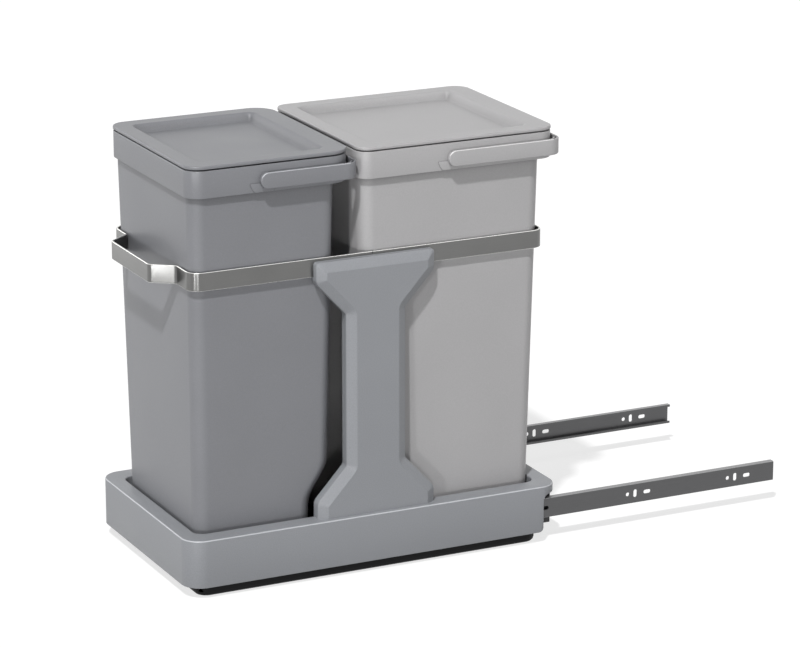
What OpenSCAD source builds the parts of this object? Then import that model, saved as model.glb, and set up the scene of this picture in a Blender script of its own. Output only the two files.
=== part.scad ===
// Pull out bin frame: two lidded bins in a tray that runs out of a cabinet on ball bearing slides.
// +Z is up, -Y is the front with the pull, and the origin is under the middle of the tray.
// The tray is drawn pulled right out, so the cabinet rails reach back behind it.

/* [Tray cover] */
// Width of the tray cover
tray_w = 253; // [246:1:275]
// Length of the tray cover
tray_l = 438; // [434:1:470]
// Height of the rim above the underside of the base
rim_z = 65.5; // [63:0.5:80]
// Height of the skirt's lower edge
skirt_z = 13; // [11:0.5:14]
// Radius of the tray's upright corners
tray_r = 22; // [16:1:26]
// Wall of the tray cover
cover_t = 2.5; // [2:0.1:3]
// Radius along the rim's outer top edge
rim_edge_r = 1.5; // [0.5:0.1:2]
// Width of the rim along both sides
side_rim = 22.3; // [21.5:0.1:24]
// Width of the rim at both ends
end_rim = 18.5; // [17:0.1:19]
// Radius of the well's corners
well_r = 12; // [8:1:14]
// Depth of the lip that hangs round the well
lip_h = 12; // [8:0.5:14]
// How far the rim runs on past the rear end of the skirt
rear_overhang = 19.5; // [14:0.5:22]
// Depth of the rim's edge across the rear
rear_edge_h = 10; // [7:0.5:12]
// Radius where the skirt's rear end meets the rim
notch_r = 8; // [4:0.5:9]

/* [Base] */
// Distance from the skirt's sides in to the base
base_side_in = 8.5; // [7:0.5:12]
// Distance from the skirt's front in to the base
base_front_in = 14; // [10:0.5:18]
// Distance from the rim's rear edge in to the base
base_rear_in = 21.5; // [21:0.5:26]
// Radius of the base's upright corners
base_r = 14; // [10:1:18]
// Radius along the base's lower edge
base_edge_r = 5; // [3:0.5:7]
// Wall of the base and thickness of its deck
base_t = 2.5; // [2:0.1:3]
// Height of the deck that the bins stand on
deck_z = 17; // [16:0.5:18]
// Spacing of the stiffening ribs under the deck
rib_step = 48; // [36:2:64]
// Thickness of the ribs under and on the deck
rib_t = 2; // [1.6:0.1:2.4]
// Height of the ribs that keep the bins' feet in place
keeper_h = 4; // [3:0.5:5]
// Length of the ribs beside the bins' feet
keeper_l = 70; // [40:5:80]

/* [Bins] */
// Height of the collars' top edge
bin_top = 457.5; // [440:0.5:500]
// Distance from the tray's sides in to the collars
collar_side_in = 16; // [15:0.5:18]
// Length of the front bin's collar
front_l = 185; // [175:1:190]
// Gap between the two collars
bin_gap = 8; // [7:0.5:12]
// Distance from the tray's front to the front collar
collar_in = 13.7; // [12:0.1:18]
// Distance from the tray's rear end in to the rear collar
collar_rear_in = 1.3; // [1:0.1:6]
// Height of the collar
collar_h = 29; // [24:1:34]
// Radius of the collar's corners
collar_r = 17.5; // [16:0.5:22]
// Thickness of the collar's skirt
collar_t = 2; // [1.6:0.1:2.4]
// Wall of the bin bodies
bin_t = 2; // [1.6:0.1:2.6]
// Distance from the collar's sides in to the body
body_side_in = 4.4; // [4:0.1:6]
// Distance from the collar's front in to the body
body_front_in = 3.3; // [3:0.1:5]
// Distance from the front bin's collar rear in to its body
front_rear_in = 17; // [13:0.5:20]
// Distance from the rear bin's collar rear in to its body
rear_rear_in = 14; // [11:0.5:18]
// Draft of the bodies' sides in degrees
side_draft = 1.65; // [1.4:0.05:2]
// Draft of the bodies' ends in degrees
end_draft = 0.78; // [0.6:0.02:1]
// Radius of the bodies' upright corners
body_r = 15; // [12:1:18]
// Radius along the bodies' lower edge
foot_r = 12; // [8:1:14]
// Depth of the hand recess low in the front bin's rear wall
recess_d = 21; // [14:1:26]
// Height of the recess's lower end
recess_z0 = 75; // [60:1:85]
// Height of the recess's upper end
recess_z1 = 125; // [110:1:150]
// Radius of the pads round the pivot studs
pad_r = 15.5; // [13:0.5:16]
// Distance from the pivots forward to the pads' middle
pad_fwd = 7.5; // [3:0.5:9]

/* [Lids] */
// Thickness of a lid's edge
lid_edge_h = 3.5; // [3:0.1:5]
// Radius along a lid's upper edge
lid_edge_r = 1.1; // [0.5:0.1:1.5]
// Distance that a lid's edge stands out past the collar
lid_over = 0.4; // [0:0.1:0.5]
// Shadow gap between a lid's edge and the collar
lid_gap = 1.6; // [1.2:0.1:2]
// Width of a lid's flat rim
lid_rim = 17; // [12:0.5:20]
// Width of a lid's flat rim at the rear
lid_rear_rim = 23.5; // [23:0.5:26]
// Width of the slope down into a lid's recess
lid_slope = 9; // [6:0.5:12]
// Depth of a lid's recess
lid_recess = 8; // [5:0.5:10]
// Radius of the recess's corners
lid_panel_r = 9; // [6:0.5:14]
// Thickness of a lid's skin
lid_t = 2.2; // [1.8:0.1:2.6]
// Depth of the plug that reaches into the bin
plug_h = 12; // [8:0.5:16]
// Gap between the plug and the bin's mouth
plug_gap = 0.6; // [0.4:0.1:1]

/* [Bails] */
// Height of a bail's strap
bail_h = 17.5; // [14:0.5:19]
// Thickness of a bail's outer plate
bail_t = 2.4; // [2.2:0.1:3]
// Thickness of the rib inside a bail's arms
bail_rib_t = 3.3; // [2:0.1:3.5]
// Height of the rib inside a bail's arms
bail_rib_h = 11; // [8:0.5:13]
// Gap between a collar and its bail
bail_gap = 1.3; // [1:0.1:1.6]
// Gap between the front collar and its bail's crossbar, which swings up past the lid's edge
bail_front_gap = 3; // [2.8:0.1:3.4]
// Gap between the rear collar and its bail's crossbar
bail_rear_gap = 3.5; // [2:0.1:6]
// Outer radius of a bail's corners
bail_r = 16; // [12:1:18]
// Radius of the pivot studs on the collars
stud_r = 4; // [3:0.1:5]
// Running clearance round a pivot stud
stud_fit = 0.08; // [0.03:0.01:0.1]
// Distance from the collar's middle forward to the pivot
pivot_fwd = 2; // [0:0.5:5]
// Distance from the collar's middle down to the pivot
pivot_low = 1.5; // [0:0.5:3]
// Distance that a bail's arms run on forward past the pivots
bail_over = 4.5; // [0:0.5:6]

/* [Hoop] */
// Height of the steel strip
hoop_h = 20; // [16:0.5:24]
// Thickness of the steel strip
hoop_t = 2; // [1.5:0.1:2.2]
// Height of the strip's lower edge
hoop_z = 330; // [300:1:360]
// Gap between the bin bodies' sides and the strip
hoop_side_gap = 2.3; // [1.5:0.1:2.6]
// Gap between the front body and the strip
hoop_front_gap = 1.3; // [1:0.1:2]
// Gap between the rear body and the strip
hoop_rear_gap = 2.3; // [1.5:0.1:4]
// Outer radius of the strip's corners
hoop_r = 14; // [10:1:15]
// Width of the pull's flat front
pull_w = 104; // [80:1:120]
// Distance that the pull stands out in front
pull_d = 24; // [18:1:30]
// Sideways run of the pull's slanted legs
pull_run = 18; // [10:1:22]
// Inner radius of the pull's bends
pull_r = 4; // [3:0.5:6]

/* [Pillars] */
// Place of the pillars' middle behind the tray's middle
pillar_y = 2.5; // [-4:0.5:8]
// Width of a pillar's head and foot
pillar_w = 137; // [124:1:150]
// Width of a pillar's column
waist_w = 69; // [60:1:80]
// Height of a pillar's top above the strip's lower edge
head_up = 16.5; // [12:0.5:18]
// Depth of the upright ends of the head
head_side_h = 22; // [18:1:30]
// Height of the upright ends of the foot
foot_side_h = 17.5; // [14:0.5:24]
// Height of the slanted shoulders of head and foot
shoulder_h = 37; // [30:1:44]
// Distance from the tray's side in to a pillar's face
face_in = 5.5; // [4:0.5:7]
// Width of the chamfer round a pillar's face
chamfer_w = 10; // [6:0.5:12]
// Depth of the chamfer round a pillar's face
chamfer_d = 6; // [4:0.5:7]
// Wall of the pillars
pillar_t = 2.5; // [2:0.1:3]
// Radius of the outline where it turns out to head and foot
shoulder_r = 11; // [10:0.5:16]
// Radius of the outline where it turns in to the column
waist_r = 5; // [3:0.5:8]
// Radius of the head's upper corners
crown_r = 3.5; // [2:0.5:6]
// Spacing of the ribs in a pillar's hollow
pillar_rib_step = 38; // [30:2:60]
// Thickness of the ribs in a pillar's hollow
pillar_rib_t = 1.8; // [1.4:0.1:2.2]
// Width of the screw blocks in a pillar
boss_w = 12; // [10:0.5:14]
// Height of the hoop screws above the strip's lower edge
hoop_screw_up = 8; // [7:0.5:12]

/* [Slides] */
// Length of the cabinet rails
rail_l = 400; // [380:1:420]
// Height of the cabinet rails
rail_h = 22.5; // [22:0.1:24]
// Depth of the cabinet rails' channel
rail_d = 6.5; // [6.3:0.1:7]
// Thickness of the rails' steel
rail_t = 1.2; // [1:0.1:1.3]
// Height of the rails' middle
rail_z = 37.5; // [35:0.5:42]
// Gap between the skirt and the cabinet rails
skirt_gap = 4.8; // [3:0.1:6]
// Distance from the tray's front to the drawer rails
drawer_in = 17; // [12:1:22]
// Distance from the tray's rear end in to the drawer rails
drawer_rear_in = 26; // [26:1:50]
// Length of rail that stays engaged with the tray pulled out
overlap = 97; // [90:1:120]
// Diameter of the balls
ball_d = 3; // [2.8:0.1:3]
// Running clearance of the balls
ball_fit = 0.05; // [0.03:0.01:0.08]
// Pitch of the balls along a cage
ball_step = 11; // [8:0.5:14]
// Pitch of the fixing hole groups
group_step = 128; // [128:32:128]
// Distance from a rail's rear end to the last upright slot
group_end = 50; // [40:1:60]
// Diameter of the fixing holes and width of the slots
hole_d = 4.5; // [4:0.1:5.5]
// Length of the slots
slot_l = 9; // [7:0.5:10]
// Distance from a group's upright slot forward to its round hole
round_step = 9.6; // [8:0.1:12]
// Distance from a group's upright slot back to its level slot
level_step = 15; // [13:0.5:18]
// Distance from a drawer rail's ends to its end screws
screw_end = 25; // [20:1:40]

/* [Chassis] */
// Thickness of the chassis plates
plate_t = 2; // [1.5:0.1:2.5]
// Width of the side plates' lower flanges
flange_w = 11; // [8:0.5:11.5]
// Length of the crossbars' end tabs
tab_w = 12; // [8:1:16]
// Distance from a pillar's sides in to its foot screws
foot_screw_in = 18; // [15:1:24]
// Diameter of the screws' shanks
screw_d = 4; // [3.5:0.1:4.5]
// Diameter of the screws' pan heads
head_d = 7.2; // [6.5:0.1:7.5]
// Height of the screws' pan heads
head_h = 2; // [1.6:0.1:2.2]

/* [Hidden] */
$fn = 48;
// Steps round each moulded corner
arc_n = 6;
// Smallest gap between pieces that move past each other
clear = 0.3;
// Gap between the bins' feet and the ribs beside them
keeper_gap = 0.5;
// Overlap of cutting shapes past the faces that they cut
over = 1;
// Colours
grey_mould = "#8c8e92";
grey_bin = "#808184";
pale_bin = "#a9a8a8";
black_mould = "#1b1c1e";
rail_steel = "#66666a";
bright_steel = "#b9b9b6";

// Tray
tray_x = tray_w / 2;
tray_y0 = -tray_l / 2;
tray_y1 = tray_l / 2;
well_x = tray_x - side_rim;
well_y0 = tray_y0 + end_rim;
well_y1 = tray_y1 - end_rim;
rim_under = rim_z - cover_t;
skirt_end = tray_y1 - rear_overhang;
base_x = tray_x - base_side_in;
base_y0 = tray_y0 + base_front_in;
base_y1 = tray_y1 - base_rear_in;

// Bins
collar_x = tray_x - collar_side_in;
collar_z = bin_top - collar_h;
front_y0 = tray_y0 + collar_in;
front_y1 = front_y0 + front_l;
rear_y0 = front_y1 + bin_gap;
rear_y1 = tray_y1 - collar_rear_in;
bin_z = deck_z + clear;
body_x = collar_x - body_side_in;
function side_fall(z) = (collar_z - z) * tan(side_draft);
function end_fall(z) = (collar_z - z) * tan(end_draft);

// Hoop
hoop_top = hoop_z + hoop_h;
hoop_x = body_x - side_fall(hoop_top) + hoop_side_gap + hoop_t;
hoop_y0 = front_y0 + body_front_in + end_fall(hoop_top) - hoop_front_gap - hoop_t;
hoop_y1 = rear_y1 - rear_rear_in - end_fall(hoop_top) + hoop_rear_gap + hoop_t;

// Pillars
pillar_top = hoop_z + head_up;
face_x = tray_x - face_in;
brow_x = face_x - chamfer_d;
back_x = well_x + 0.3;
head_z = pillar_top - head_side_h;
foot_z = rim_z + foot_side_h;

// Slides, right side
rail_x = tray_x - cover_t - skirt_gap;
web_x = rail_x - rail_t;
mouth_x = rail_x - rail_d;
lip_drop = 1.3;
race_z = rail_h / 2 - rail_t;
ball_z = race_z - ball_d / 2 - ball_fit;
drawer_z = ball_z - ball_d / 2 - ball_fit;
ball_x = mouth_x + rail_t + 0.3 + ball_d / 2;
cage_x = ball_x + ball_d / 2 - 0.4;
cage_t = 0.7;
drawer_x = plate_t + mouth_x - 5.2;
drawer_y0 = tray_y0 + drawer_in;
drawer_y1 = tray_y1 - drawer_rear_in;
rail_y0 = drawer_y1 - overlap;
rail_y1 = rail_y0 + rail_l;
stop_l = 2;
cage_y0 = rail_y0 + stop_l + clear;
cage_y1 = drawer_y1 - 2 * stop_l - clear;
ball_count = floor((cage_y1 - cage_y0 - ball_step) / ball_step) + 1;
plate_x = drawer_x - plate_t;
// Flat heads that stay below the cabinet rail's lips
rail_head_h = min(head_h, mouth_x - drawer_x - rail_t - 0.2);
plate_y1 = tray_y1 - 3;

// Corner points of a rounded rectangle at height z, anticlockwise from above
function ring(x, y0, y1, r, z) = [
    for (c = [[x - r, y1 - r, 0], [r - x, y1 - r, 90], [r - x, y0 + r, 180], [x - r, y0 + r, 270]])
        for (k = [0:arc_n])
            let (a = c[2] + 90 * k / arc_n)
            [c[0] + r * cos(a), c[1] + r * sin(a), z]
];

// Solid skinned over rings that have the same count of points. Rings that are their own mirror image, and
// hollow in places, get ends made of strips from side to side
module loft(rings, hollow_outline = false) {
    m = len(rings[0]);
    n = len(rings);
    sides = [
        for (i = [0:n - 2])
            for (k = [0:m - 1])
                let (a = i * m + k, b = i * m + (k + 1) % m)
                each [[a, a + m, b + m], [a, b + m, b]]
    ];
    flat = hollow_outline ? [for (k = [0:m / 2 - 2]) [k, k + 1, m - 2 - k, m - 1 - k]] : [[for (k = [0:m - 1]) k]];
    top = (n - 1) * m;
    ends = concat(flat, [for (f = flat) [for (i = [len(f) - 1:-1:0]) top + f[i]]]);
    polyhedron(points = [for (r = rings) each r], faces = concat(sides, ends), convexity = 8);
}

// Points of a line with each inner corner rounded to the radius given beside it
function unit(v) = v / norm(v);
function corner(a, b, c, r) =
    let (u = unit(a - b), w = unit(c - b), half = acos(u * w) / 2, reach = r / tan(half))
    let (p = b + u * reach, q = b + w * reach, m = b + unit(u + w) * r / sin(half))
    let (a0 = atan2(p[1] - m[1], p[0] - m[0]), a1 = atan2(q[1] - m[1], q[0] - m[0]))
    let (turn = a1 - a0 > 180 ? a1 - a0 - 360 : a1 - a0 < -180 ? a1 - a0 + 360 : a1 - a0)
    [for (k = [0:arc_n]) m + r * [cos(a0 + turn * k / arc_n), sin(a0 + turn * k / arc_n)]];
function rounded(pts, radii) = [
    for (i = [0:len(pts) - 1])
        each (i == 0 || i == len(pts) - 1) ? [pts[i]] : corner(pts[i - 1], pts[i], pts[i + 1], radii[i])
];

// Line moved sideways to its left by d, corner by corner
function left_of(a, b) = let (u = unit(b - a)) [-u[1], u[0]];
function shifted(pts, d) = [
    for (i = [0:len(pts) - 1])
        let (n0 = i == 0 ? left_of(pts[0], pts[1]) : left_of(pts[i - 1], pts[i]))
        let (n1 = i == len(pts) - 1 ? n0 : left_of(pts[i], pts[i + 1]))
        pts[i] + d * (n0 + n1) / (1 + n0 * n1)
];
function with_z(points, z) = [for (p = points) [p[0], p[1], z]];
function backwards(pts) = [for (i = [len(pts) - 1:-1:0]) pts[i]];

// Flat shapes in (y, z) run along X, and flat shapes in (x, z) run along Y
module along_x(x0, x1) {
    translate([x0, 0, 0]) rotate([90, 0, 90]) linear_extrude(x1 - x0) children();
}
module along_y(y0, y1) {
    translate([0, y1, 0]) rotate([90, 0, 0]) linear_extrude(y1 - y0) children();
}
module block(x0, x1, y0, y1, z0, z1) {
    translate([x0, y0, z0]) cube([x1 - x0, y1 - y0, z1 - z0]);
}
module pin_x(x0, x1, y, z, r) {
    translate([x0, y, z]) rotate([0, 90, 0]) cylinder(r = r, h = x1 - x0);
}
module both_sides() {
    children();
    mirror([1, 0, 0]) children();
}

// Slides
module cabinet_section() {
    difference() {
        union() {
            translate([mouth_x, -rail_h / 2]) square([rail_d - rail_t, rail_h]);
            translate([web_x - over / 2, rail_t - rail_h / 2]) square([rail_t + over / 2, rail_h - 2 * rail_t]);
            for (s = [-1, 1]) translate([web_x, s * (rail_h / 2 - rail_t)]) circle(r = rail_t);
        }
        translate([mouth_x - over, -race_z]) square([web_x - mouth_x + over, 2 * race_z]);
    }
    for (s = [0, 1]) mirror([0, s]) translate([mouth_x, race_z - lip_drop]) square([rail_t, lip_drop + rail_t / 2]);
}
module cabinet_rail() {
    color(rail_steel) difference() {
        union() {
            translate([0, 0, rail_z]) along_y(rail_y0, rail_y1) cabinet_section();
            for (s = [-1, 1])
                translate([0, rail_y0, rail_z])
                    block(ball_x, web_x + over / 4, 0, stop_l,
                        s > 0 ? drawer_z + clear : -race_z - rail_t / 2,
                        s > 0 ? race_z + rail_t / 2 : -drawer_z - clear);
        }
        for (k = [0:2]) {
            y = rail_y1 - group_end - k * group_step;
            half = (slot_l - hole_d) / 2;
            pin_x(web_x - over / 2, rail_x + over, y - round_step, rail_z, hole_d / 2);
            for (s = [-1, 1]) {
                pin_x(web_x - over / 2, rail_x + over, y, rail_z + s * half, hole_d / 2);
                pin_x(web_x - over / 2, rail_x + over, y + level_step + s * half, rail_z, hole_d / 2);
            }
            block(web_x - over / 2, rail_x + over, y - hole_d / 2, y + hole_d / 2, rail_z - half, rail_z + half);
            block(web_x - over / 2, rail_x + over, y + level_step - half, y + level_step + half,
                rail_z - hole_d / 2, rail_z + hole_d / 2);
        }
    }
}
module drawer_rail() {
    tip_x = cage_x - clear;
    color(rail_steel) difference() {
        union() {
            translate([0, 0, rail_z]) along_y(drawer_y0, drawer_y1) {
                difference() {
                    translate([drawer_x, -drawer_z]) square([tip_x - drawer_x, 2 * drawer_z]);
                    translate([drawer_x + rail_t, rail_t - drawer_z])
                        square([tip_x - drawer_x, 2 * (drawer_z - rail_t)]);
                }
            }
            for (s = [-1, 1])
                translate([0, 0, rail_z])
                    block(mouth_x + rail_t + clear, tip_x, drawer_y1 - 2 * stop_l, drawer_y1,
                        s > 0 ? drawer_z - rail_t / 2 : -race_z + lip_drop + clear,
                        s > 0 ? race_z - lip_drop - clear : -drawer_z + rail_t / 2);
        }
        for (y = rail_screw_ys)
            pin_x(drawer_x - over, drawer_x + rail_t + over, y, rail_z, screw_d / 2);
    }
}
module ball_cage() {
    color(black_mould) difference() {
        translate([0, 0, rail_z]) along_y(cage_y0, cage_y1) {
            translate([cage_x, -ball_z + 0.1]) square([cage_t, 2 * ball_z - 0.2]);
            for (s = [0, 1])
                mirror([0, s]) translate([mouth_x + 0.2, ball_z - 1.1]) square([cage_x + cage_t - mouth_x - 0.2, 1]);
        }
        for (i = [0:ball_count - 1]) {
            for (s = [-1, 1])
                translate([ball_x, cage_y0 + (i + 0.6) * ball_step, rail_z + s * ball_z - ball_d])
                    cylinder(d = ball_d + 2 * ball_fit, h = 2 * ball_d);
        }
    }
}
module balls() {
    color(bright_steel)
        for (i = [0:ball_count - 1])
            for (s = [-1, 1])
                translate([ball_x, cage_y0 + (i + 0.6) * ball_step, rail_z + s * ball_z]) sphere(d = ball_d);
}

// Chassis
rail_screw_ys = [drawer_y0 + screw_end, (drawer_y0 + drawer_y1) / 2, drawer_y1 - screw_end];
foot_screw_ys = [pillar_y - pillar_w / 2 + foot_screw_in, pillar_y + pillar_w / 2 - foot_screw_in];
foot_screw_x = drawer_x + head_d / 2 + 0.6;
plate_y0 = tray_y0 + drawer_in - plate_t;
module side_plate() {
    color(black_mould) difference() {
        union() {
            block(plate_x, drawer_x, plate_y0, plate_y1, deck_z, rim_under);
            block(drawer_x - flange_w, drawer_x, plate_y0, base_y1, deck_z, deck_z + plate_t);
            block(plate_x, face_x, plate_y0, skirt_end, rim_under - plate_t, rim_under);
        }
        for (y = rail_screw_ys) pin_x(plate_x - over, drawer_x + over, y, rail_z, screw_d / 2);
        for (y = foot_screw_ys)
            translate([foot_screw_x, y, rim_under - plate_t - over])
                cylinder(d = screw_d, h = plate_t + 2 * over);
    }
}
module crossbar(y0, tab_y0, tab_y1) {
    z0 = deck_z + plate_t + 0.5;
    z1 = rim_z - lip_h - 1;
    color(black_mould) {
        block(-plate_x, plate_x, y0, y0 + plate_t, z0, z1);
        both_sides() block(plate_x - plate_t, plate_x, tab_y0, tab_y1, z0, z1);
    }
}
module front_crossbar() {
    crossbar(plate_y0, plate_y0, plate_y0 + plate_t + tab_w);
}
module rear_crossbar() {
    crossbar(plate_y1 - plate_t, plate_y1 - plate_t - tab_w, plate_y1);
}
module rail_screws() {
    color(bright_steel) both_sides()
        for (y = rail_screw_ys) {
            pin_x(plate_x - 1.5, drawer_x + rail_t + 0.5, y, rail_z, screw_d / 2);
            pin_x(drawer_x + rail_t, drawer_x + rail_t + rail_head_h, y, rail_z, head_d / 2);
        }
}

// Base
module base_pan() {
    x = base_x;
    e = base_edge_r;
    outer = [
        for (a = [0:30:90])
            let (d = e * (1 - sin(a)))
            ring(x - d, base_y0 + d, base_y1 - d, base_r - d, e * (1 - cos(a)))
    ];
    deck_x = tray_x - cover_t - 0.4;
    hollow_z = deck_z - base_t;
    in = e + base_t;
    color(black_mould) {
        difference() {
            union() {
                loft(concat(outer, [ring(x, base_y0, base_y1, base_r, deck_z - base_t / 2)]));
                loft([for (z = [hollow_z, deck_z]) ring(deck_x, tray_y0 + cover_t + 0.4, base_y1, tray_r - cover_t, z)]);
            }
            difference() {
                union() {
                    block(in - x, x - in, base_y0 + in, base_y1 - in, -over, e + over);
                    block(base_t - x, x - base_t, base_y0 + base_t, base_y1 - base_t, e, hollow_z);
                }
                for (i = [-2:2])
                    block(i * rib_step - rib_t / 2, i * rib_step + rib_t / 2, base_y0, base_y1, -2 * over, deck_z);
                for (i = [-4:4])
                    block(-x, x, i * rib_step - rib_t / 2, i * rib_step + rib_t / 2, -2 * over, deck_z);
            }
        }
        // Ribs that keep the feet of the bins in their places
        foot_x = body_x - side_fall(deck_z);
        for (y = [front_y1 - front_rear_in - end_fall(deck_z) - recess_d + rib_t, rear_y0 + rib_t])
            block(-foot_x * 0.64, foot_x * 0.64, y, y + rib_t, deck_z - rib_t / 2, deck_z + keeper_h);
        both_sides()
            for (y = [(front_y0 + front_y1 - recess_d) / 2, (rear_y0 + rear_y1) / 2])
                block(foot_x + keeper_gap, foot_x + keeper_gap + rib_t, y - keeper_l / 2, y + keeper_l / 2,
                    deck_z - rib_t / 2, deck_z + keeper_h);
    }
}

// Tray cover
module tray_cover() {
    e = rim_edge_r;
    top = [
        for (a = [0:30:90])
            let (d = e * (1 - cos(a)))
            ring(tray_x - d, tray_y0 + d, tray_y1 - d, tray_r - d, rim_z - e + e * sin(a))
    ];
    inner_r = tray_r - cover_t;
    color(grey_mould) difference() {
        union() {
            difference() {
                loft(concat([ring(tray_x, tray_y0, tray_y1, tray_r, skirt_z)], top));
                loft([
                    for (z = [skirt_z - over, rim_under])
                        ring(tray_x - cover_t, tray_y0 + cover_t, tray_y1 - cover_t, inner_r, z)
                ]);
            }
            loft([
                for (z = [rim_z - lip_h, rim_z - cover_t / 2])
                    ring(well_x + cover_t, well_y0 - cover_t, well_y1 + cover_t, well_r + cover_t, z)
            ]);
        }
        loft([for (z = [skirt_z, rim_z + over]) ring(well_x, well_y0, well_y1, well_r, z)]);
        along_x(-tray_w, tray_w) rear_notch();
        both_sides()
            for (y = foot_screw_ys)
                translate([foot_screw_x, y, rim_under - over]) cylinder(d = screw_d, h = cover_t + 2 * over);
    }
}
module rear_notch() {
    z1 = rim_z - rear_edge_h;
    difference() {
        translate([skirt_end, 0]) square([tray_l, z1]);
        difference() {
            translate([skirt_end - over, z1 - notch_r]) square([notch_r + over, notch_r + over]);
            translate([skirt_end + notch_r, z1 - notch_r]) circle(r = notch_r);
        }
    }
    difference() {
        translate([skirt_end - 5, 0]) square([5 + over, skirt_z + 5]);
        translate([skirt_end - 5, skirt_z + 5]) circle(r = 5);
    }
}

// Pillars: an outline with broad head and foot, waisted between, with a chamfer round its face
function pillar_line(inset) =
    let (w = pillar_w / 2, c = waist_w / 2)
    let (pts = [
        [w, rim_z], [w, foot_z], [c, foot_z + shoulder_h], [c, head_z - shoulder_h], [w, head_z], [w, pillar_top],
        [-w, pillar_top], [-w, head_z], [-c, head_z - shoulder_h], [-c, foot_z + shoulder_h], [-w, foot_z],
        [-w, rim_z]
    ])
    let (out = shoulder_r, in = waist_r)
    let (radii = [0, out, in, in, out, crown_r, crown_r, out, in, in, out, 0])
    let (turn = [0, 1, -1, -1, 1, 1, 1, 1, -1, -1, 1, 0])
    rounded(shifted(pts, inset), [for (i = [0:11]) max(radii[i] - turn[i] * inset, 0.5)]);
module pillar() {
    strip_z = hoop_z + hoop_screw_up;
    color(grey_mould) difference() {
        translate([0, pillar_y, 0]) rotate([90, 0, 90])
            loft([for (s = [[0, back_x], [0, brow_x], [chamfer_w, face_x]]) with_z(pillar_line(s[0]), s[1])],
                hollow_outline = true);
        pillar_pocket(strip_z);
        // Slot that the steel strip stands in
        block(hoop_x - hoop_t - 0.1, hoop_x + 0.1, -tray_l, tray_l, hoop_z, pillar_top + over);
        for (y = foot_screw_ys)
            translate([foot_screw_x, y, rim_z - over]) cylinder(d = screw_d, h = 11 + over);
        for (y = hoop_screw_ys) pin_x(hoop_x - over, hoop_x + 8, y, strip_z, screw_d / 2);
    }
}
hoop_screw_ys = [for (d = [-0.305, -0.09, 0.09, 0.305]) pillar_y + d * pillar_w];
// Hollow of a pillar, in two steps, with screw blocks and cross ribs left standing in it
module pillar_pocket(strip_z) {
    difference() {
        union() {
            along_x(back_x - over, brow_x + 0.5) translate([pillar_y, 0]) polygon(pillar_line(pillar_t));
            along_x(brow_x, face_x - pillar_t) translate([pillar_y, 0]) polygon(pillar_line(chamfer_w));
        }
        block(0, tray_w, -tray_l, tray_l, 0, rim_z + pillar_t);
        for (y = foot_screw_ys)
            block(back_x - over, face_x, y - boss_w / 2, y + boss_w / 2, 0, rim_z + boss_w);
        block(hoop_x, face_x, -tray_l, tray_l, strip_z - boss_w / 2, strip_z + boss_w / 2);
        for (z = [foot_z + shoulder_h : pillar_rib_step : head_z - shoulder_h])
            block(back_x - over, face_x, -tray_l, tray_l, z - pillar_rib_t / 2, z + pillar_rib_t / 2);
    }
}
module pillar_screws() {
    color(bright_steel) both_sides()
        for (y = foot_screw_ys) {
            translate([foot_screw_x, y, rim_under - plate_t - head_h]) cylinder(d = head_d, h = head_h);
            translate([foot_screw_x, y, rim_under - plate_t - 1]) cylinder(d = screw_d, h = cover_t + plate_t + 10);
        }
}

// Hoop of steel strip, in a front half with the pull and a rear half
module strip(line, radii, turns) {
    outer = rounded(line, radii);
    inner = rounded(shifted(line, hoop_t), [for (i = [0:len(line) - 1]) radii[i] - turns[i] * hoop_t]);
    translate([0, 0, hoop_z]) linear_extrude(hoop_h) polygon(concat(outer, backwards(inner)));
}
module hoop_holes(ys) {
    both_sides()
        for (y = ys) {
            pin_x(hoop_x - hoop_t - over, hoop_x + over, y, hoop_z + hoop_screw_up, screw_d / 2);
            translate([hoop_x - hoop_t, y, hoop_z + hoop_screw_up]) rotate([0, 90, 0])
                cylinder(d1 = 2 * screw_d, d2 = screw_d, h = screw_d / 2);
        }
}
module front_hoop() {
    foot = pull_w / 2 + pull_run;
    line = [
        [-hoop_x, pillar_y], [-hoop_x, hoop_y0], [-foot, hoop_y0], [-pull_w / 2, hoop_y0 - pull_d],
        [pull_w / 2, hoop_y0 - pull_d], [foot, hoop_y0], [hoop_x, hoop_y0], [hoop_x, pillar_y]
    ];
    big = pull_r + hoop_t;
    color(bright_steel) difference() {
        strip(line, [0, hoop_r, pull_r, big, big, pull_r, hoop_r, 0], [0, 1, -1, 1, 1, -1, 1, 0]);
        hoop_holes([hoop_screw_ys[0], hoop_screw_ys[1]]);
    }
}
module rear_hoop() {
    line = [[hoop_x, pillar_y], [hoop_x, hoop_y1], [-hoop_x, hoop_y1], [-hoop_x, pillar_y]];
    color(bright_steel) difference() {
        strip(line, [0, hoop_r, hoop_r, 0], [0, 1, 1, 0]);
        hoop_holes([hoop_screw_ys[2], hoop_screw_ys[3]]);
    }
}
module hoop_screws() {
    color(bright_steel) both_sides()
        for (y = hoop_screw_ys) {
            pin_x(hoop_x - hoop_t, hoop_x + 7, y, hoop_z + hoop_screw_up, screw_d / 2);
            translate([hoop_x - hoop_t, y, hoop_z + hoop_screw_up]) rotate([0, 90, 0])
                cylinder(d1 = 2 * screw_d, d2 = screw_d, h = screw_d / 2);
        }
}

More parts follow.
